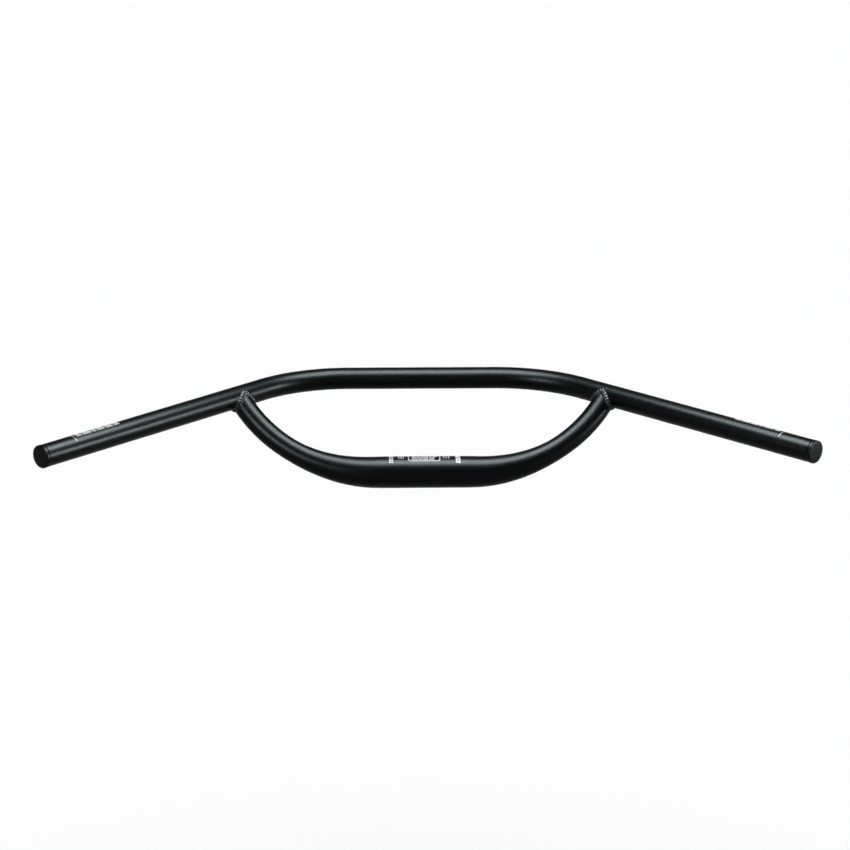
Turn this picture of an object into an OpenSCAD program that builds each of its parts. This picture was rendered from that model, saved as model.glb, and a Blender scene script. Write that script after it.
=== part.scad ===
// Bicycle loop handlebar, held at the clamp section of its centre tube.
// Origin: middle of the clamp section's axis. +X runs to the rider's right, +Y forward, +Z up.

/* [Loop tube] */
// Outer diameter of the loop tube, and so of the grips
tube_d = 22.2; // [20:0.1:25.4]
// Wall of the loop tube
tube_wall = 2.2; // [1.4:0.1:3]
// Width over the end plugs
bar_width = 754; // [680:2:820]
// Angle by which each grip turns back towards the rider
sweep = 45; // [38:1:50]
// Height of the loop tube's axis above the clamp axis
rise = 63.5; // [50:0.5:76]
// Distance of the front straight ahead of the clamp axis
reach = 112; // [100:1:124]
// Length of the straight at the front
front_straight = 150; // [130:1:170]
// Bend radius between the front straight and a grip
front_bend_r = 125; // [110:1:140]
// Bevel round the tube's open ends
end_bevel = 0.6; // [0.3:0.1:1]
// Bare tube between the weld and where a grip may start
grip_margin = 2.5; // [1:0.5:6]

/* [Clamp tube] */
// Outer diameter of the clamp section
clamp_d = 31.8; // [30:0.1:35]
// Wall of the clamp section
clamp_wall = 2.8; // [2:0.1:4]
// Length of the parallel clamp section
clamp_section = 76; // [60:1:90]
// Straight length between the clamp tube's two bends
clamp_straight = 101; // [92:1:110]
// Bend radius of the clamp tube's arms
arm_bend_r = 154; // [140:1:170]
// Length of tube over which each arm tapers
taper_length = 109; // [90:1:118]
// How much slimmer than the loop tube each arm ends
arm_step = 0.4; // [0.3:0.1:2]
// Wall at the slim end of each arm
arm_wall = 2.2; // [1.4:0.1:3]

/* [Weld beads] */
// Leg length of the fillet weld round each joint
weld_leg = 3.2; // [2.4:0.1:4]
// Height of the ripples on the weld
weld_ripple = 0.35; // [0.1:0.05:0.5]
// Ripples round one joint
weld_ripples = 30; // [20:1:36]

/* [End plugs] */
// Thickness of the plug's flange
plug_flange = 4; // [2.5:0.1:6]
// How far the flange stands out past the tube
plug_lip = 0.2; // [0:0.05:0.6]
// Rounding of the flange's outer edge
plug_round = 1.2; // [0.4:0.1:2]
// Length of the barrel inside the tube
plug_barrel = 16; // [10:1:24]
// Wall of the barrel
plug_wall = 1.6; // [1:0.1:2.4]
// Clearance between the crush ribs and the tube's bore
plug_clearance = 0.05; // [0.02:0.01:0.2]
// Height of each crush rib
rib_height = 0.5; // [0.3:0.1:1]
// Width of each crush rib
rib_width = 1.2; // [0.8:0.1:2]
// Crush ribs round the barrel
rib_count = 8; // [4:1:12]

/* [Hidden] */
$fn = 96;

tube_r = tube_d / 2;
bore_r = tube_r - tube_wall;
clamp_r = clamp_d / 2;
arm_r = tube_r - arm_step / 2;
past = 1; // how far a cut runs past the face it opens
// Stretches that join smoothly are a hair slimmer than their neighbours, and run into them.
seam = 0.03;
seam_overlap = 1;
swell = 0.01; // how much the first stretch of each grip grows

// The right front bend turns about bend_centre, and its grip starts at bend_end and runs along grip_dir.
bend_centre = [front_straight / 2, reach - front_bend_r, rise];
bend_end = bend_centre + front_bend_r * [sin(sweep), cos(sweep), 0];
grip_dir = [cos(sweep), -sin(sweep), 0];
plug_r = tube_r + plug_lip;
grip_length = (bar_width / 2 - plug_r * sin(sweep) - bend_end[0]) / cos(sweep) - plug_flange;

// Each arm bends in a plane that leans by arm_lean, until its axis meets the grip's axis.
arm_start = clamp_straight / 2;
function arm_depth(turn) = arm_bend_r * (1 - cos(turn));
function arm_ahead(turn) = sqrt(max(0, arm_depth(turn) ^ 2 - rise ^ 2));
function past_grip(turn) =
    (arm_start + arm_bend_r * sin(turn) - bend_end[0]) * sin(sweep)
    + (arm_ahead(turn) - bend_end[1]) * cos(sweep);
function meeting_turn(low, high, steps = 40) =
    let (middle = (low + high) / 2)
    steps == 0 ? middle
    : past_grip(middle) > 0 ? meeting_turn(low, middle, steps - 1)
    : meeting_turn(middle, high, steps - 1);
arm_turn = meeting_turn(acos(1 - rise / arm_bend_r), 90);
arm_lean = asin(rise / arm_depth(arm_turn));

// Distances along the clamp tube are measured from its middle.
taper_start = clamp_section / 2;
taper_end = taper_start + taper_length;
degree_length = arm_bend_r * PI / 180;
function eased(t) = let (c = min(1, max(0, t))) c * c * (3 - 2 * c);
function taper(s, thick, slim) = thick + (slim - thick) * eased((s - taper_start) / taper_length);
function outer_r(s) = taper(s, clamp_r, arm_r);
function inner_r(s) = taper(s, clamp_r - clamp_wall, arm_r - arm_wall);

taper_sides = 30;
taper_rings = 16;
bore_rings = 6;

// Places on the right arm, in its own leaning plane, with the bend starting at arm_start.
function turn_at(s) = max(0, (s - arm_start) / degree_length);
function axis_at(s) =
    s <= arm_start ? [s, 0, 0]
    : [arm_start + arm_bend_r * sin(turn_at(s)), arm_depth(turn_at(s)), 0];
function around(s, a, r) =
    let (t = turn_at(s))
    axis_at(s) + r * [-sin(t) * cos(a), cos(t) * cos(a), sin(a)];
function ring(s, r) = [for (i = [0 : taper_sides - 1]) around(s, 360 * i / taper_sides, r)];
function leaned(p) = [
    p[0],
    p[1] * cos(arm_lean) - p[2] * sin(arm_lean),
    p[1] * sin(arm_lean) + p[2] * cos(arm_lean)
];

// The weld runs along the curve where the arm's surface meets the loop tube's.
weld_sides = 8;
weld_steps = 2 * weld_ripples;
weld_search = 25; // degrees of arm bend that hold the whole joint
function from_grip(p) = let (d = p - bend_end) d - (d * grip_dir) * grip_dir;
function meeting_place(a, low, high, steps = 30) =
    let (middle = (low + high) / 2)
    steps == 0 ? middle
    : norm(from_grip(leaned(around(middle, a, arm_r)))) > tube_r ? meeting_place(a, middle, high, steps - 1)
    : meeting_place(a, low, middle, steps - 1);
arm_end = arm_start + arm_turn * degree_length;
function unit(v) = v / norm(v);
function weld_point(a) =
    leaned(around(meeting_place(a, arm_end - weld_search * degree_length, arm_end), a, arm_r));
function weld_out(a) =
    let (
        s = meeting_place(a, arm_end - weld_search * degree_length, arm_end),
        arm_normal = leaned(around(s, a, 1)) - leaned(axis_at(s))
    )
    arm_normal + unit(from_grip(leaned(around(s, a, arm_r))));
// Where the two surfaces run nearly flush, the bead sinks so that it stays low.
square_corner = sqrt(2);
flush_sink = 0.85;
function weld_centre(a) =
    let (out = weld_out(a))
    weld_point(a) - unit(out) * weld_leg * flush_sink * max(0, norm(out) - square_corner);
function weld_ring(i) =
    let (
        step = 360 / weld_steps,
        a = i * step,
        centre = weld_centre(a),
        along = unit(weld_point(a + step) - weld_point(a - step)),
        side = unit(cross(along, weld_out(a))),
        up = cross(side, along),
        r = weld_leg - (i % 2) * weld_ripple
    )
    [for (j = [0 : weld_sides - 1])
        let (b = 360 * (j + 0.5) / weld_sides)
        centre + r * (cos(b) * side + sin(b) * up)];

// A grip's true cylinder starts past the weld, grip_margin on.
weld_reach = max([for (i = [0 : weld_steps - 1]) (weld_centre(i * 360 / weld_steps) - bend_end) * grip_dir]);
grip_start = weld_reach + weld_leg + grip_margin;

// The straight from a front bend to the tube's end. It grows by swell up to grip_start.
module grip_bar(r, grip) {
    cylinder(r1 = r - swell, r2 = r, h = grip_start);
    translate([0, 0, grip_start])
        cylinder(r = r, h = grip - grip_start);
}

// A bar along the whole loop: the front straight, both bends and both grips.
// The bends are a hair slimmer than the straights, so that each stretch ends at a clear edge.
module loop(r, grip, bevel = 0) {
    translate([0, reach, rise])
        facing_out()
            cylinder(r = r, h = front_straight, center = true);
    both_sides() {
        translate(bend_centre)
            rotate_extrude(angle = sweep, start = 90 - sweep)
                translate([front_bend_r, 0])
                    circle(r = r - seam);
        along_grip() {
            grip_bar(r, grip);
            if (bevel > 0)
                translate([0, 0, grip])
                    cylinder(r1 = r, r2 = r - bevel, h = bevel);
        }
    }
}

// Lays an upright child along X, with its own X side to the front.
module facing_out() {
    rotate([0, 90, 0])
        rotate([0, 0, 90])
            children();
}

// Puts a child at the start of the right grip, facing outwards.
module along_grip() {
    translate(bend_centre)
        rotate([0, 0, -sweep])
            translate([0, front_bend_r, 0])
                facing_out()
                    children();
}

// The space that the right grip fills, for cutting what is fitted to it.
module solid_grip() {
    along_grip()
        grip_bar(tube_r, grip_length);
}

module both_sides() {
    children();
    mirror([1, 0, 0])
        children();
}

module loop_tube() {
    color("#17191a")
        difference() {
            loop(tube_r, grip_length - end_bevel, end_bevel);
            loop(bore_r, grip_length + past);
        }
}

// The slim, even stretch of an arm, from the end of its taper to the loop tube's axis.
module slim_arm(r, from, extra = 0) {
    turn = turn_at(from);
    rotate([arm_lean, 0, 0])
        translate([arm_start, arm_bend_r, 0])
            rotate([0, 0, turn - 90])
                rotate_extrude(angle = arm_turn - turn + extra)
                    translate([arm_bend_r, 0])
                        circle(r = r);
}

// The tapered stretch of an arm, as one closed shell with an outer and an inner wall.
module tapered_arm() {
    n = taper_sides;
    function places(rings) = [
        taper_start - seam_overlap,
        for (i = [0 : rings]) taper_start + seam_overlap + (taper_length - 2 * seam_overlap) * i / rings,
        taper_end + seam_overlap
    ];
    points = [
        for (s = places(taper_rings)) each ring(s, outer_r(s) - seam),
        for (s = places(bore_rings)) each ring(s, (inner_r(s) + seam) / cos(180 / n))
    ];
    outer_end = n * (taper_rings + 2);
    inner = outer_end + n;
    inner_end = inner + n * (bore_rings + 2);
    faces = [
        for (i = [0 : taper_rings + 1], j = [0 : n - 1])
            let (a = i * n + j, b = i * n + (j + 1) % n)
            [a, a + n, b + n, b],
        for (i = [0 : bore_rings + 1], j = [0 : n - 1])
            let (a = inner + i * n + j, b = inner + i * n + (j + 1) % n)
            [a, b, b + n, a + n],
        for (j = [0 : n - 1])
            let (k = (j + 1) % n)
            each [
                [j, k, inner + k, inner + j],
                [outer_end + j, inner_end + j, inner_end + k, outer_end + k]
            ]
    ];
    rotate([arm_lean, 0, 0])
        polyhedron(points, faces);
}

module clamp_tube() {
    color("#17191a")
        union() {
            rotate([0, 90, 0])
                difference() {
                    cylinder(r = clamp_r, h = clamp_section, center = true);
                    cylinder(r = clamp_r - clamp_wall, h = clamp_section + 2 * past, center = true);
                }
            both_sides()
                tapered_arm();
            both_sides()
                difference() {
                    slim_arm(arm_r, taper_end);
                    slim_arm(arm_r - arm_wall, taper_end - past, past);
                    solid_grip();
                }
        }
}

// The fillet weld round the right-hand joint.
module weld_bead() {
    n = weld_sides;
    points = [for (i = [0 : weld_steps - 1]) each weld_ring(i)];
    faces = [
        for (i = [0 : weld_steps - 1], j = [0 : n - 1])
            let (next = (i + 1) % weld_steps, k = (j + 1) % n)
            [i * n + j, i * n + k, next * n + k, next * n + j]
    ];
    difference() {
        polyhedron(points, faces);
        slim_arm(arm_r, taper_end);
        solid_grip();
    }
}

module weld_bead_right() {
    color("#2a2c2d")
        weld_bead();
}

module weld_bead_left() {
    color("#2a2c2d")
        mirror([1, 0, 0])
            weld_bead();
}

// Half section of the flange: a disc with a rounded rim.
module flange_section() {
    difference() {
        union() {
            square([plug_r - plug_round, plug_flange]);
            square([plug_r, plug_flange - plug_round]);
            translate([plug_r - plug_round, plug_flange - plug_round])
                circle(r = plug_round);
        }
        translate([-plug_r, -past])
            square([plug_r, plug_flange + 2 * past]);
    }
}

// A moulded plug: its flange closes the tube's end, and its ribbed barrel grips the bore.
module end_plug() {
    rib_r = bore_r - plug_clearance;
    barrel_r = rib_r - rib_height;
    rotate_extrude()
        flange_section();
    translate([0, 0, -plug_barrel])
        difference() {
            union() {
                cylinder(r = barrel_r, h = plug_barrel);
                intersection() {
                    cylinder(r = rib_r, h = plug_barrel);
                    for (i = [0 : rib_count - 1])
                        rotate([0, 0, 360 * i / rib_count])
                            translate([0, -rib_width / 2, 0])
                                cube([tube_r, rib_width, plug_barrel]);
                }
            }
            translate([0, 0, -past])
                cylinder(r = barrel_r - plug_wall, h = plug_barrel + past);
        }
}

module end_plug_right() {
    color("#0b0b0c")
        along_grip()
            translate([0, 0, grip_length])
                end_plug();
}

module end_plug_left() {
    color("#0b0b0c")
        mirror([1, 0, 0])
            along_grip()
                translate([0, 0, grip_length])
                    end_plug();
}

loop_tube();
clamp_tube();
weld_bead_left();
weld_bead_right();
end_plug_left();
end_plug_right();
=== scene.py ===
# The bar is held by its clamp section, well above a wide pale floor.
# Everything is in metres, in the bar's own frame: X to the rider's right, Y forward, Z up.
import math

import bmesh
import bpy
from mathutils import Matrix, Vector


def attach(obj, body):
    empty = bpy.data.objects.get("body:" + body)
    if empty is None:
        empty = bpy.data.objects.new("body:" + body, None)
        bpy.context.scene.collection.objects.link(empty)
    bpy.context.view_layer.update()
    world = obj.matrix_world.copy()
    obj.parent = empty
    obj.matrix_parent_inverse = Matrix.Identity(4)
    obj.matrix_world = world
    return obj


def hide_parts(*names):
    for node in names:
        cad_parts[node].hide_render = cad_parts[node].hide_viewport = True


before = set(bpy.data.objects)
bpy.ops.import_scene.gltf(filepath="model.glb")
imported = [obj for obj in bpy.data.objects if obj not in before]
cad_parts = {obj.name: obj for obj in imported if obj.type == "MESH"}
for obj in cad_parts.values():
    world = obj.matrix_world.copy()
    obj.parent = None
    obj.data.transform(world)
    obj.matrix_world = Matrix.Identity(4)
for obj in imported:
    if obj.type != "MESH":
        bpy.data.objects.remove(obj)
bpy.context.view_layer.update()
mm = 0.001

# The floor is a wide matt sheet of pale paper.
# It lies well below the bar, so that the bar's shadow on it is faint and soft.
floor_drop = 0.6
floor_width = 30.0
floor_shade = (0.93, 0.93, 0.93, 1.0)

floor_mesh = bmesh.new()
bmesh.ops.create_grid(floor_mesh, x_segments=1, y_segments=1, size=floor_width / 2)
bmesh.ops.translate(floor_mesh, vec=(0, 0, -floor_drop), verts=floor_mesh.verts)
floor_data = bpy.data.meshes.new("paper_floor")
floor_mesh.to_mesh(floor_data)
floor_mesh.free()
floor = bpy.data.objects.new("paper_floor", floor_data)
bpy.context.scene.collection.objects.link(floor)

paper = bpy.data.materials.new("pale_paper")
paper.use_nodes = True
paper_shader = paper.node_tree.nodes["Principled BSDF"]
paper_shader.inputs["Base Color"].default_value = floor_shade
paper_shader.inputs["Roughness"].default_value = 0.9
paper_shader.inputs["Specular IOR Level"].default_value = 0.0
floor_data.materials.append(paper)

# The room has low white walls all round and a dim ceiling, so that the bar stays black.
# Its gloss comes from three soft lamps, placed where the bar shows their reflections.
# An even fill from above lights the floor and the print.
wall_light = (0.97, 0.97, 0.97, 1.0)
ceiling_light = (0.06, 0.06, 0.065, 1.0)
wall_top = math.sin(math.radians(6))
ceiling_start = math.sin(math.radians(15))

room = bpy.data.worlds.new("studio")
room.use_nodes = True
room_nodes = room.node_tree.nodes
room_links = room.node_tree.links
direction = room_nodes.new("ShaderNodeTexCoord")
split_direction = room_nodes.new("ShaderNodeSeparateXYZ")
height_share = room_nodes.new("ShaderNodeMapRange")
height_share.interpolation_type = "SMOOTHSTEP"
height_share.inputs["From Min"].default_value = wall_top
height_share.inputs["From Max"].default_value = ceiling_start
wall_or_ceiling = room_nodes.new("ShaderNodeMix")
wall_or_ceiling.data_type = "RGBA"
wall_or_ceiling.inputs["A"].default_value = wall_light
wall_or_ceiling.inputs["B"].default_value = ceiling_light
room_links.new(direction.outputs["Generated"], split_direction.inputs["Vector"])
room_links.new(split_direction.outputs["Z"], height_share.inputs["Value"])
room_links.new(height_share.outputs["Result"], wall_or_ceiling.inputs["Factor"])
room_links.new(wall_or_ceiling.outputs["Result"], room_nodes["Background"].inputs["Color"])
bpy.context.scene.world = room

lamp_tint = (0.86, 0.99, 1.0)


def soft_lamp(name, place, aim, width, height, radiance):
    """A softbox that shows in the bar's gloss. Its power follows from its radiance and its area."""
    lamp = bpy.data.lights.new(name, "AREA")
    lamp.shape = "RECTANGLE"
    lamp.size = width
    lamp.size_y = height
    lamp.energy = radiance * width * height * math.pi
    lamp.color = lamp_tint
    holder = bpy.data.objects.new(name, lamp)
    holder.location = place
    holder.rotation_euler = (Vector(place) - Vector(aim)).to_track_quat("Z", "Y").to_euler()
    holder.visible_diffuse = False
    holder.visible_camera = False
    bpy.context.scene.collection.objects.link(holder)


bar_middle = (0.0, 0.0, 0.04)
soft_lamp(
    "overhead_softbox",
    place=(0.05, 0.04, 0.68),
    aim=(0.05, 0.04, 0.0),
    width=0.42,
    height=0.42,
    radiance=112.0,
)
soft_lamp(
    "front_left_softbox",
    place=(-1.05, -1.15, 0.62),
    aim=bar_middle,
    width=0.5,
    height=0.5,
    radiance=104.0,
)
soft_lamp(
    "right_softbox",
    place=(1.50, -0.30, 0.24),
    aim=bar_middle,
    width=0.5,
    height=0.5,
    radiance=160.0,
)

fill_share = 0.97
fill_spread = math.radians(70)
fill_light = bpy.data.lights.new("even_fill", "SUN")
fill_light.energy = fill_share * math.pi
fill_light.angle = fill_spread
even_fill = bpy.data.objects.new("even_fill", fill_light)
even_fill.visible_glossy = False
bpy.context.scene.collection.objects.link(even_fill)

# The camera stands behind the rider's left hand, a little above the bar, and looks forward and down.
camera_place = (-0.0988, -2.5941, 0.9178)
camera_pitch = math.radians(18.49)
camera_yaw = math.radians(2.178)
camera_roll = math.radians(0.361)
camera_lens = 116.32

ahead = Vector((
    math.sin(camera_yaw) * math.cos(camera_pitch),
    math.cos(camera_yaw) * math.cos(camera_pitch),
    -math.sin(camera_pitch),
))
level_right = Vector((math.cos(camera_yaw), -math.sin(camera_yaw), 0.0))
level_up = level_right.cross(ahead)
view_right = level_right * math.cos(camera_roll) + level_up * math.sin(camera_roll)
view_up = level_up * math.cos(camera_roll) - level_right * math.sin(camera_roll)
camera_data = bpy.data.cameras.new("camera")
camera_data.lens = camera_lens
camera_data.clip_end = 60.0
camera = bpy.data.objects.new("camera", camera_data)
camera_turn = Matrix((view_right, view_up, -ahead)).transposed()
camera.matrix_world = Matrix.Translation(camera_place) @ camera_turn.to_4x4()
bpy.context.scene.collection.objects.link(camera)
bpy.context.scene.camera = camera
bpy.context.scene.view_settings.view_transform = "Standard"

# The loop tube is one drawn aluminium tube, bent twice and cut square at both grip ends.
# It is blasted with fine beads and dyed black, which leaves a satin skin with a fine grain.
tube_r = 11.1 * mm
tube_wall = 2.2 * mm
loop_rise = 63.5 * mm
loop_reach = 112 * mm
front_half = 75 * mm
front_bend_r = 125 * mm
sweep = math.radians(45)
grip_length = 286.7925 * mm
end_bevel = 0.6 * mm
round_sides = 96
front_rings = 3
front_bend_rings = 30
grip_rings = 8
merge_gap = 0.001 * mm

bend_middle = Vector((front_half, loop_reach - front_bend_r, loop_rise))
grip_out = Vector((math.cos(sweep), -math.sin(sweep), 0.0))
grip_root = bend_middle + front_bend_r * Vector((math.sin(sweep), math.cos(sweep), 0.0))


def blasted_grain():
    """A node group for blasted metal and moulded plastic: grain height, and uneven roughness and tone."""
    group = bpy.data.node_groups.new("blasted_grain", "ShaderNodeTree")
    socket = group.interface.new_socket
    socket("Position", in_out="INPUT", socket_type="NodeSocketVector")
    grain_size = socket("Grains per metre", in_out="INPUT", socket_type="NodeSocketFloat")
    grain_size.default_value = 2200.0
    socket("Least roughness", in_out="INPUT", socket_type="NodeSocketFloat").default_value = 0.3
    socket("Most roughness", in_out="INPUT", socket_type="NodeSocketFloat").default_value = 0.4
    socket("Height", in_out="OUTPUT", socket_type="NodeSocketFloat")
    socket("Roughness", in_out="OUTPUT", socket_type="NodeSocketFloat")
    socket("Tone", in_out="OUTPUT", socket_type="NodeSocketFloat")
    blotches_per_metre = 600.0
    clouds_per_metre = 26.0
    nodes = group.nodes
    links = group.links
    given = nodes.new("NodeGroupInput")
    result = nodes.new("NodeGroupOutput")

    fine = nodes.new("ShaderNodeTexNoise")
    fine.inputs["Detail"].default_value = 2.0
    links.new(given.outputs["Position"], fine.inputs["Vector"])
    links.new(given.outputs["Grains per metre"], fine.inputs["Scale"])
    links.new(fine.outputs["Fac"], result.inputs["Height"])

    blotches = nodes.new("ShaderNodeTexNoise")
    blotches.inputs["Scale"].default_value = blotches_per_metre
    blotches.inputs["Detail"].default_value = 3.0
    links.new(given.outputs["Position"], blotches.inputs["Vector"])
    spread = nodes.new("ShaderNodeMapRange")
    spread.inputs["From Min"].default_value = 0.35
    spread.inputs["From Max"].default_value = 0.65
    links.new(blotches.outputs["Fac"], spread.inputs["Value"])
    links.new(given.outputs["Least roughness"], spread.inputs["To Min"])
    links.new(given.outputs["Most roughness"], spread.inputs["To Max"])
    links.new(spread.outputs["Result"], result.inputs["Roughness"])

    clouds = nodes.new("ShaderNodeTexNoise")
    clouds.inputs["Scale"].default_value = clouds_per_metre
    clouds.inputs["Detail"].default_value = 4.0
    links.new(given.outputs["Position"], clouds.inputs["Vector"])
    links.new(clouds.outputs["Fac"], result.inputs["Tone"])
    return group


grain = blasted_grain()


def grained_finish(name, dark, light, gloss, grains, relief, rough):
    """A near-black finish with the blasted grain. Relief is the grain's height in metres."""
    finish = bpy.data.materials.new(name)
    finish.use_nodes = True
    nodes = finish.node_tree.nodes
    links = finish.node_tree.links
    shader = nodes["Principled BSDF"]
    shader.inputs["Specular IOR Level"].default_value = gloss
    place = nodes.new("ShaderNodeTexCoord")
    skin = nodes.new("ShaderNodeGroup")
    skin.node_tree = grain
    skin.inputs["Grains per metre"].default_value = grains
    skin.inputs["Least roughness"].default_value = rough[0]
    skin.inputs["Most roughness"].default_value = rough[1]
    links.new(place.outputs["Object"], skin.inputs["Position"])
    links.new(skin.outputs["Roughness"], shader.inputs["Roughness"])
    tone = nodes.new("ShaderNodeMix")
    tone.data_type = "RGBA"
    tone.inputs["A"].default_value = dark
    tone.inputs["B"].default_value = light
    links.new(skin.outputs["Tone"], tone.inputs["Factor"])
    links.new(tone.outputs["Result"], shader.inputs["Base Color"])
    bump = nodes.new("ShaderNodeBump")
    bump.inputs["Strength"].default_value = 1.0
    bump.inputs["Distance"].default_value = relief
    links.new(skin.outputs["Height"], bump.inputs["Height"])
    links.new(bump.outputs["Normal"], shader.inputs["Normal"])
    return finish


tube_black = grained_finish(
    "blasted_black_tube",
    dark=(0.0006, 0.0008, 0.0009, 1.0),
    light=(0.0014, 0.0017, 0.0019, 1.0),
    gloss=0.03,
    grains=1300.0,
    relief=0.02 * mm,
    rough=(0.28, 0.41),
)


def open_ring(mesh, radius, place):
    """A circle of edges that faces along X, ready to be grown into a tube."""
    turned = place @ Matrix.Rotation(math.radians(90), 4, "Y")
    made = bmesh.ops.create_circle(mesh, segments=round_sides, radius=radius, matrix=turned)
    return ring_of(made["verts"])


def ring_of(verts):
    """The corners of a ring, with the edges that run round it."""
    inside = set(verts)
    edges = {e for v in verts for e in v.link_edges if e.other_vert(v) in inside}
    return list(verts) + list(edges)


def ring_verts(ring):
    """The corners of a ring, without its edges."""
    return [part for part in ring if isinstance(part, bmesh.types.BMVert)]


def push_ring(mesh, ring, step, steps=1):
    """Grows a ring straight on by step, as many times as steps says."""
    grown = bmesh.ops.spin(
        mesh,
        geom=ring,
        cent=(0, 0, 0),
        axis=(0, 0, 1),
        dvec=step,
        angle=0.0,
        steps=steps,
        use_duplicate=False,
    )
    return grown["geom_last"]


def turn_ring(mesh, ring, middle, axis, angle, steps=1):
    """Grows a ring round a bend."""
    grown = bmesh.ops.spin(
        mesh,
        geom=ring,
        cent=middle,
        axis=axis,
        dvec=(0, 0, 0),
        angle=angle,
        steps=steps,
        use_duplicate=False,
    )
    return grown["geom_last"]


def resize_ring(mesh, ring, share):
    """Makes a ring wider or slimmer about its own middle."""
    verts = ring_verts(ring)
    middle = sum((v.co for v in verts), Vector()) / len(verts)
    bmesh.ops.scale(mesh, vec=(share, share, share), space=Matrix.Translation(-middle), verts=verts)


def close_tube(mesh, outer, inner):
    """Joins the outer and the inner wall at a tube's end."""
    edges = [part for part in outer + inner if isinstance(part, bmesh.types.BMEdge)]
    bmesh.ops.bridge_loops(mesh, edges=edges)


def mirrored_half(mesh):
    """Adds the other half across the bar's middle and joins the two."""
    half = mesh.verts[:] + mesh.edges[:] + mesh.faces[:]
    bmesh.ops.mirror(mesh, geom=half, axis="X", merge_dist=merge_gap)
    bmesh.ops.remove_doubles(mesh, verts=mesh.verts, dist=merge_gap)


def finished_piece(mesh, name, material, node=None, crease=30):
    """Turns a mesh into a smooth-shaded piece with crisp corners, which rides on the bar."""
    bmesh.ops.recalc_face_normals(mesh, faces=mesh.faces)
    for face in mesh.faces:
        face.smooth = True
    for edge in mesh.edges:
        edge.smooth = edge.calc_face_angle(0.0) < math.radians(crease)
    data = bpy.data.meshes.new(name)
    mesh.to_mesh(data)
    mesh.free()
    data.materials.append(material)
    piece = bpy.data.objects.new(name, data)
    bpy.context.scene.collection.objects.link(piece)
    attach(piece, "root")
    if node:
        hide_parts(node)


loop_mesh = bmesh.new()
front_middle = Matrix.Translation((0, loop_reach, loop_rise))
loop_ends = []
for wall_r in (tube_r, tube_r - tube_wall):
    ring = open_ring(loop_mesh, wall_r, front_middle)
    ring = push_ring(loop_mesh, ring, (front_half / front_rings, 0, 0), front_rings)
    ring = turn_ring(loop_mesh, ring, bend_middle, (0, 0, 1), -sweep, front_bend_rings)
    ring = push_ring(loop_mesh, ring, grip_out * (grip_length - end_bevel) / grip_rings, grip_rings)
    ring = push_ring(loop_mesh, ring, grip_out * end_bevel)
    if wall_r == tube_r:
        resize_ring(loop_mesh, ring, (tube_r - end_bevel) / tube_r)
    loop_ends.append(ring)
close_tube(loop_mesh, *loop_ends)
mirrored_half(loop_mesh)
finished_piece(loop_mesh, "loop_tube_skin", tube_black, "loop_tube")

# The clamp tube is butted: thick and parallel in the middle, where the stem holds it, and drawn down
# through both arms. Each arm is coped to the loop tube's round and finished like it.
clamp_r = 15.9 * mm
clamp_wall = 2.8 * mm
clamp_half = 38 * mm
clamp_straight_half = 50.5 * mm
arm_bend_r = 154 * mm
taper_length = 109 * mm
arm_r = tube_r - 0.2 * mm
arm_wall = 2.2 * mm


def from_grip_axis(point):
    """How far a point lies from the line down the middle of the right grip, and which way."""
    away = point - grip_root
    return away - away.dot(grip_out) * grip_out


def arm_depth(turn):
    """How far the arm's line has left the clamp section's line, once it has turned so far."""
    return arm_bend_r * (1 - math.cos(turn))


def past_grip_axis(turn):
    """How far ahead of the grip's line the arm's line has come, once it has turned so far."""
    ahead_by = math.sqrt(max(0.0, arm_depth(turn) ** 2 - loop_rise ** 2))
    across = clamp_straight_half + arm_bend_r * math.sin(turn)
    return (across - grip_root.x) * math.sin(sweep) + (ahead_by - grip_root.y) * math.cos(sweep)


# The arm turns until its line meets the grip's line, and leans so that it gets there at the loop's height.
arm_halvings = 40
least_turn = math.acos(1 - loop_rise / arm_bend_r)
most_turn = math.radians(90)
for _ in range(arm_halvings):
    arm_turn = (least_turn + most_turn) / 2
    if past_grip_axis(arm_turn) > 0:
        most_turn = arm_turn
    else:
        least_turn = arm_turn
arm_lean = math.asin(loop_rise / arm_depth(arm_turn))
arm_middle = Vector((clamp_straight_half, arm_bend_r * math.cos(arm_lean), arm_bend_r * math.sin(arm_lean)))
arm_axis = Vector((0, -math.sin(arm_lean), math.cos(arm_lean)))


def drawn_down(along, thick, slim):
    """A radius that eases from thick to slim over the taper."""
    share = min(1.0, max(0.0, (along - clamp_half) / taper_length))
    share = share * share * (3 - 2 * share)
    return thick + (slim - thick) * share


def turned_on(point, angle):
    """A point of the arm, carried on round the arm's bend."""
    return arm_middle + Matrix.Rotation(angle, 3, arm_axis) @ (point - arm_middle)


# The cope lies within this last part of the arm's bend.
cope_turn = math.radians(18)
cope_halvings = 30


def angle_to_loop(point, most=cope_turn):
    """How far a point of the arm turns on before it meets the loop tube's round, at most so far."""
    near, far = 0.0, most
    for _ in range(cope_halvings):
        half = (near + far) / 2
        if from_grip_axis(turned_on(point, half)).length > tube_r:
            near = half
        else:
            far = half
    return near


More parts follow.
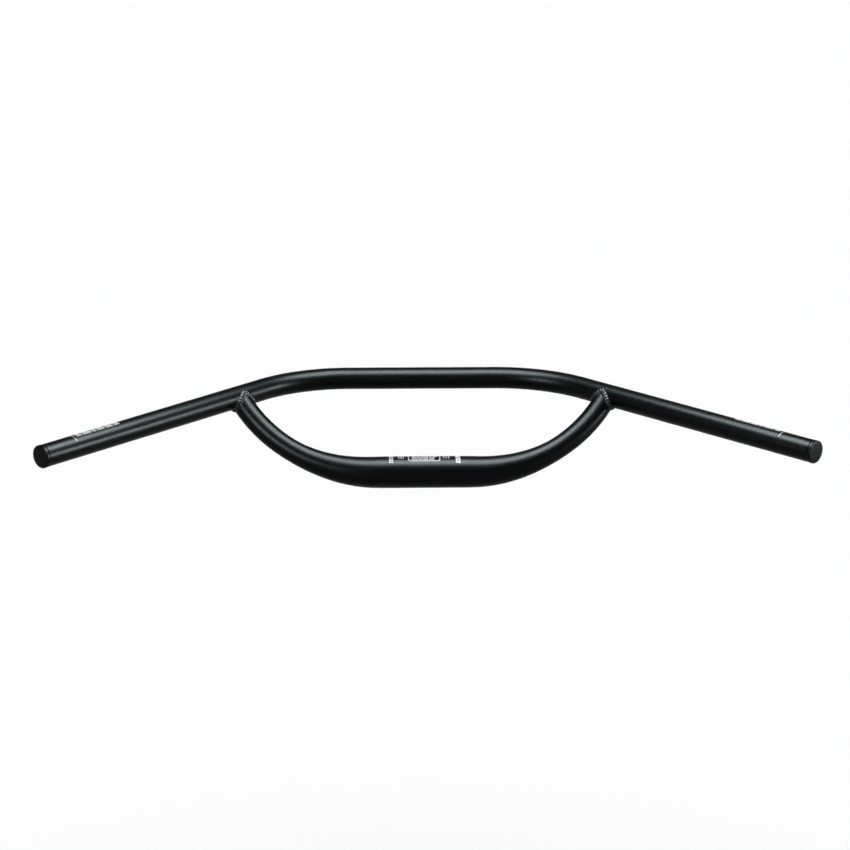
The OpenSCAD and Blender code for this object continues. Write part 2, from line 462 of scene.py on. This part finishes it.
cope_start = arm_turn - cope_turn
arm_rings = 48
straight_rings = 5
cope_rings = 12
clamp_mesh = bmesh.new()
clamp_ends = []
for thick, slim in ((clamp_r, arm_r), (clamp_r - clamp_wall, arm_r - arm_wall)):
    ring = open_ring(clamp_mesh, thick, Matrix.Identity(4))
    ring = push_ring(clamp_mesh, ring, (clamp_half, 0, 0))
    along = clamp_half
    radius = thick
    straight_step = (clamp_straight_half - clamp_half) / straight_rings
    for _ in range(straight_rings):
        ring = push_ring(clamp_mesh, ring, (straight_step, 0, 0))
        along += straight_step
        resize_ring(clamp_mesh, ring, drawn_down(along, thick, slim) / radius)
        radius = drawn_down(along, thick, slim)
    turn_step = cope_start / arm_rings
    for _ in range(arm_rings):
        ring = turn_ring(clamp_mesh, ring, arm_middle, arm_axis, turn_step)
        along += turn_step * arm_bend_r
        resize_ring(clamp_mesh, ring, drawn_down(along, thick, slim) / radius)
        radius = drawn_down(along, thick, slim)
    for rings_left in range(cope_rings, 0, -1):
        ring = push_ring(clamp_mesh, ring, (0, 0, 0))
        for vert in ring_verts(ring):
            turn = angle_to_loop(vert.co, cope_turn * rings_left / cope_rings)
            vert.co = turned_on(vert.co, turn / rings_left)
    clamp_ends.append(ring)
close_tube(clamp_mesh, *clamp_ends)
mirrored_half(clamp_mesh)
finished_piece(clamp_mesh, "clamp_tube_skin", tube_black, "clamp_tube")

# Each arm is joined to the loop tube by one fillet weld, laid bead after bead all the way round.
# The beads overlap like fallen coins, and the weld is blasted and dyed with the bar.
weld_leg = 3.2 * mm
bead_r = 4.2 * mm
weld_beads = 30
bead_sides = 20
bead_rounds = 12
bead_length_share = 0.62
bead_height_share = 0.72
bead_sink_share = 0.85
near_angle = 0.05
weld_voxel = 0.28 * mm
weld_smoothings = 3
weld_crease = 80

weld_black = grained_finish(
    "blasted_black_weld",
    dark=(0.0040, 0.0046, 0.0048, 1.0),
    light=(0.0070, 0.0076, 0.0078, 1.0),
    gloss=0.09,
    grains=1300.0,
    relief=0.02 * mm,
    rough=(0.30, 0.42),
)


def arm_skin(angle):
    """The place on the arm's outside where it meets the loop tube, and the way out of the arm there."""
    start = clamp_straight_half + arm_bend_r * math.sin(cope_start)
    middle = Vector((
        start,
        arm_depth(cope_start) * math.cos(arm_lean),
        arm_depth(cope_start) * math.sin(arm_lean),
    ))
    inward = (arm_middle - middle).normalized()
    out = inward * math.cos(angle) + arm_axis * math.sin(angle)
    more = angle_to_loop(middle + out * arm_r)
    met = turned_on(middle + out * arm_r, more)
    return met, Matrix.Rotation(more, 3, arm_axis) @ out


def weld_frame(step):
    """Where one bead sits on the joint's curve: its middle, and the ways along, across and out."""
    angle = 2 * math.pi * step / weld_beads
    met, arm_out = arm_skin(angle)
    spread = arm_out + from_grip_axis(met).normalized()
    before, _ = arm_skin(angle - near_angle)
    after, _ = arm_skin(angle + near_angle)
    along = (after - before).normalized()
    across = along.cross(spread).normalized()
    out = across.cross(along)
    sink = weld_leg * bead_sink_share * max(0.0, spread.length - math.sqrt(2))
    middle = met - spread.normalized() * sink
    return middle, along, across, out


for side, side_name in ((1, "right"), (-1, "left")):
    weld_mesh = bmesh.new()
    for step in range(weld_beads):
        middle, along, across, out = weld_frame(step)
        axes = Matrix((along * bead_length_share, across, out * bead_height_share)).transposed()
        bmesh.ops.create_uvsphere(
            weld_mesh,
            u_segments=bead_sides,
            v_segments=bead_rounds,
            radius=bead_r,
            matrix=Matrix.Translation(middle) @ axes.to_4x4(),
        )
    if side < 0:
        bmesh.ops.scale(weld_mesh, vec=(-1, 1, 1), verts=weld_mesh.verts)
    bmesh.ops.recalc_face_normals(weld_mesh, faces=weld_mesh.faces)
    rough_data = bpy.data.meshes.new("rough_weld")
    weld_mesh.to_mesh(rough_data)
    weld_mesh.free()
    rough = bpy.data.objects.new("rough_weld", rough_data)
    bpy.context.scene.collection.objects.link(rough)
    fused = rough.modifiers.new("fused", "REMESH")
    fused.mode = "VOXEL"
    fused.voxel_size = weld_voxel
    bpy.context.view_layer.update()
    seen = bpy.context.evaluated_depsgraph_get()
    fused_data = bpy.data.meshes.new_from_object(rough.evaluated_get(seen))
    smooth_weld = bmesh.new()
    smooth_weld.from_mesh(fused_data)
    for _ in range(weld_smoothings):
        bmesh.ops.smooth_vert(
            smooth_weld,
            verts=smooth_weld.verts,
            factor=0.5,
            use_axis_x=True,
            use_axis_y=True,
            use_axis_z=True,
        )
    bpy.data.objects.remove(rough)
    weld_name = "weld_bead_" + side_name
    fused_name = "fused_" + weld_name
    finished_piece(smooth_weld, fused_name, weld_black, weld_name, weld_crease)

# Each grip end is closed by a moulded plug of hard black plastic.
# Its flange sits on the tube's end with a narrow groove between them, and its hollow barrel grips the bore
# with eight ribs.
plug_r = tube_r + 0.2 * mm
plug_flange = 4 * mm
plug_round = 1.2 * mm
plug_round_steps = 6
plug_groove = 0.5 * mm
plug_groove_steps = 2
plug_barrel = 16 * mm
rib_r = tube_r - tube_wall - 0.05 * mm
rib_height = 0.5 * mm
rib_width = 1.2 * mm
rib_root = 0.3 * mm
rib_count = 8
barrel_r = rib_r - rib_height
barrel_wall = 1.6 * mm
barrel_bore_r = barrel_r - barrel_wall
touch = 0.01 * mm

plug_black = grained_finish(
    "moulded_black_plug",
    dark=(0.0010, 0.0010, 0.0011, 1.0),
    light=(0.0018, 0.0018, 0.0019, 1.0),
    gloss=0.03,
    grains=1500.0,
    relief=0.006 * mm,
    rough=(0.30, 0.38),
)

for side, side_name in ((1, "right"), (-1, "left")):
    plug_mesh = bmesh.new()
    half_section = (
        (0, 0),
        (barrel_bore_r, 0),
        (barrel_bore_r, -plug_barrel),
        (barrel_r, -plug_barrel),
        (barrel_r, 0),
        (plug_r, 0),
        (plug_r, plug_flange),
        (0, plug_flange),
    )
    corners = [plug_mesh.verts.new((radius, 0, height)) for radius, height in half_section]
    section = [plug_mesh.edges.new(pair) for pair in zip(corners, corners[1:])]
    bmesh.ops.spin(
        plug_mesh,
        geom=corners + section,
        cent=(0, 0, 0),
        axis=(0, 0, 1),
        dvec=(0, 0, 0),
        angle=2 * math.pi,
        steps=round_sides,
        use_merge=True,
        use_duplicate=False,
    )
    bmesh.ops.remove_doubles(plug_mesh, verts=plug_mesh.verts, dist=merge_gap)
    rim = [
        e for e in plug_mesh.edges
        if all(abs(v.co.z - plug_flange) < touch and v.co.xy.length > barrel_r for v in e.verts)
    ]
    bmesh.ops.bevel(
        plug_mesh, geom=rim, offset=plug_round, offset_type="OFFSET", segments=plug_round_steps,
        profile=0.5, affect="EDGES", material=-1, clamp_overlap=True
    )
    inner_rim = [
        e for e in plug_mesh.edges
        if all(abs(v.co.z) < touch and v.co.xy.length > plug_r - touch for v in e.verts)
    ]
    bmesh.ops.bevel(
        plug_mesh, geom=inner_rim, offset=plug_groove, offset_type="OFFSET", segments=plug_groove_steps,
        profile=0.5, affect="EDGES", material=-1, clamp_overlap=True
    )
    for rib in range(rib_count):
        turn = Matrix.Rotation(2 * math.pi * rib / rib_count, 4, "Z")
        reach = rib_height + rib_root
        centre = Matrix.Translation((rib_r - reach / 2, 0, -plug_barrel / 2))
        shape = Matrix.Diagonal((reach, rib_width, plug_barrel - rib_root, 1))
        bmesh.ops.create_cube(plug_mesh, size=1.0, matrix=turn @ centre @ shape)
    tube_end = grip_root + grip_out * grip_length
    outwards = Matrix.Rotation(-sweep, 4, "Z") @ Matrix.Rotation(math.radians(90), 4, "Y")
    bmesh.ops.transform(plug_mesh, matrix=Matrix.Translation(tube_end) @ outwards, verts=plug_mesh.verts)
    if side < 0:
        bmesh.ops.scale(plug_mesh, vec=(-1, 1, 1), verts=plug_mesh.verts)
    plug_name = "end_plug_" + side_name
    finished_piece(plug_mesh, "moulded_" + plug_name, plug_black, plug_name)

# The marks on the clamp section are screen printed in white: a rounded frame round three broken rows of
# bars, three ticks on each side of it, and a column of small bars near each end of the section.
print_height = 0.03 * mm
print_line = 0.8 * mm
frame_corner = 3.0 * mm
frame_corner_steps = 6
wrap_step = math.radians(5)
cut_touch = 0.0001 * mm

print_white = bpy.data.materials.new("printed_white")
print_white.use_nodes = True
ink_nodes = print_white.node_tree.nodes
ink_links = print_white.node_tree.links
ink = ink_nodes["Principled BSDF"]
ink.inputs["Roughness"].default_value = 0.5
ink.inputs["Specular IOR Level"].default_value = 0.1
ink_place = ink_nodes.new("ShaderNodeTexCoord")
ink_skin = ink_nodes.new("ShaderNodeGroup")
ink_skin.node_tree = grain
ink_skin.inputs["Grains per metre"].default_value = 3000.0
ink_tone = ink_nodes.new("ShaderNodeMix")
ink_tone.data_type = "RGBA"
ink_tone.inputs["A"].default_value = (0.62, 0.63, 0.61, 1.0)
ink_tone.inputs["B"].default_value = (0.86, 0.87, 0.85, 1.0)
ink_links.new(ink_place.outputs["Object"], ink_skin.inputs["Position"])
ink_links.new(ink_skin.outputs["Height"], ink_tone.inputs["Factor"])
ink_links.new(ink_tone.outputs["Result"], ink.inputs["Base Color"])


def flat_bar(mesh, left, right, low, high, slant=0.0):
    """A flat bar of ink. Left and right run along the tube, low and high round it, in metres."""
    centre = Matrix.Translation(((left + right) / 2, (low + high) / 2, 0))
    shape = Matrix.Diagonal((right - left, high - low, 1, 1))
    made = bmesh.ops.create_grid(mesh, x_segments=1, y_segments=1, size=0.5, matrix=centre @ shape)
    for vert in made["verts"]:
        vert.co.x += slant * (vert.co.y - low)
    return made["verts"]


def flat_frame(mesh, left, right, low, high, line, corner):
    """A rounded frame of ink of an even line."""
    verts = flat_bar(mesh, left, right, low, high)
    rounded = bmesh.ops.bevel(
        mesh, geom=verts, offset=corner, offset_type="OFFSET", segments=frame_corner_steps,
        profile=0.5, affect="VERTICES", material=-1, clamp_overlap=True
    )
    face = rounded["verts"][0].link_faces[0]
    bmesh.ops.inset_individual(mesh, faces=[face], thickness=line, use_even_offset=True)
    bmesh.ops.delete(mesh, geom=[face], context="FACES_ONLY")


def wrapped_print(mesh, name, radius, reach, place):
    """Cuts flat ink into narrow strips, rolls it round a tube and gives it its thickness."""
    step = wrap_step * radius
    for cut in range(-int(reach / step), int(reach / step) + 1):
        bmesh.ops.bisect_plane(
            mesh,
            geom=mesh.verts[:] + mesh.edges[:] + mesh.faces[:],
            plane_co=(0, cut * step, 0),
            plane_no=(0, 1, 0),
            dist=cut_touch,
        )
    for vert in mesh.verts:
        angle = vert.co.y / radius
        vert.co = Vector((vert.co.x, math.sin(angle) * radius, math.cos(angle) * radius))
    bmesh.ops.recalc_face_normals(mesh, faces=mesh.faces)
    for face in mesh.faces:
        out = face.calc_center_median()
        if face.normal.dot(Vector((0, out.y, out.z))) < 0:
            face.normal_flip()
    bmesh.ops.solidify(mesh, geom=mesh.faces[:], thickness=-print_height)
    bmesh.ops.transform(mesh, matrix=place, verts=mesh.verts)
    finished_piece(mesh, name, print_white)


clamp_print = bmesh.new()
frame_left, frame_right = -16.9 * mm, 15.2 * mm
frame_low, frame_high = -6.0 * mm, 7.6 * mm
flat_frame(clamp_print, frame_left, frame_right, frame_low, frame_high, print_line, frame_corner)
row_margin = 3.6 * mm
row_bar_width = 0.9 * mm
row_bar_pace = 1.28 * mm
row_group_gap = 0.7 * mm
for row_low, row_high, groups in (
    (-3.6 * mm, -1.6 * mm, (3, 5, 4, 2, 4)),
    (-0.4 * mm, 2.2 * mm, (4, 2, 6, 5)),
    (3.4 * mm, 5.6 * mm, (5, 3, 4, 4)),
):
    across = frame_left + row_margin
    for bars in groups:
        for _ in range(bars):
            flat_bar(clamp_print, across, across + row_bar_width, row_low, row_high)
            across += row_bar_pace
        across += row_group_gap

tick_width = 0.8 * mm
tick_low, tick_high = -3.2 * mm, 3.4 * mm
for tick_left in (-26.6 * mm, -24.4 * mm, -22.2 * mm, 18.4 * mm, 20.9 * mm, 23.4 * mm):
    flat_bar(clamp_print, tick_left, tick_left + tick_width, tick_low, tick_high)

# Each column is a stack of rungs. A rung is two bars, and the gap between them shifts from rung to rung.
column_low = -6.0 * mm
for column_left, column_right, rungs, pace, height, half_gap, gap_places, slant in (
    (-36.0 * mm, -32.0 * mm, 7, 2.35 * mm, 1.5 * mm, 0.3 * mm, (-33.6 * mm, -34.4 * mm), 0.0),
    (30.2 * mm, 34.8 * mm, 6, 2.75 * mm, 2.3 * mm, 0.25 * mm, (32.9 * mm, 31.8 * mm), 0.04),
):
    for rung in range(rungs):
        low = column_low + rung * pace
        lean = slant * (low - column_low)
        gap_place = lean + gap_places[rung % 2]
        flat_bar(clamp_print, lean + column_left, gap_place - half_gap, low, low + height, slant)
        flat_bar(clamp_print, gap_place + half_gap, lean + column_right, low, low + height, slant)

toward_rider = Matrix.Scale(-1, 4, (0, 1, 0))
clamp_print_reach = 12 * mm
wrapped_print(clamp_print, "clamp_print", clamp_r, clamp_print_reach, toward_rider)

# Each grip has a white line round its top, where the tube may be cut, and a row of bars inboard of it.
# They are printed as the marks on the clamp section are.
cut_line_inset = 35.3 * mm
cut_line = 0.7 * mm
cut_line_half = 8.0 * mm
first_bar_gap = 4.5 * mm
grip_bar_width = 1.5 * mm
grip_bar_pace = 2.2 * mm
grip_group_gap = 1.5 * mm
grip_print_reach = 10 * mm

for side, side_name, row_low, row_high in (
    (1, "right", -4.4 * mm, 0.6 * mm),
    (-1, "left", -3.4 * mm, 3.2 * mm),
):
    grip_print = bmesh.new()
    flat_bar(grip_print, -cut_line_inset - cut_line, -cut_line_inset, -cut_line_half, cut_line_half)
    along = cut_line_inset + first_bar_gap
    for bars in (3, 5, 2, 4, 4, 3):
        for _ in range(bars):
            flat_bar(grip_print, -along - grip_bar_width, -along, row_low, row_high)
            along += grip_bar_pace
        along += grip_group_gap
    tube_end = grip_root + grip_out * grip_length
    onto_grip = Matrix.Translation(tube_end) @ Matrix.Rotation(-sweep, 4, "Z") @ toward_rider
    if side < 0:
        onto_grip = Matrix.Scale(-1, 4, (1, 0, 0)) @ onto_grip
    wrapped_print(grip_print, "grip_print_" + side_name, tube_r, grip_print_reach, onto_grip)
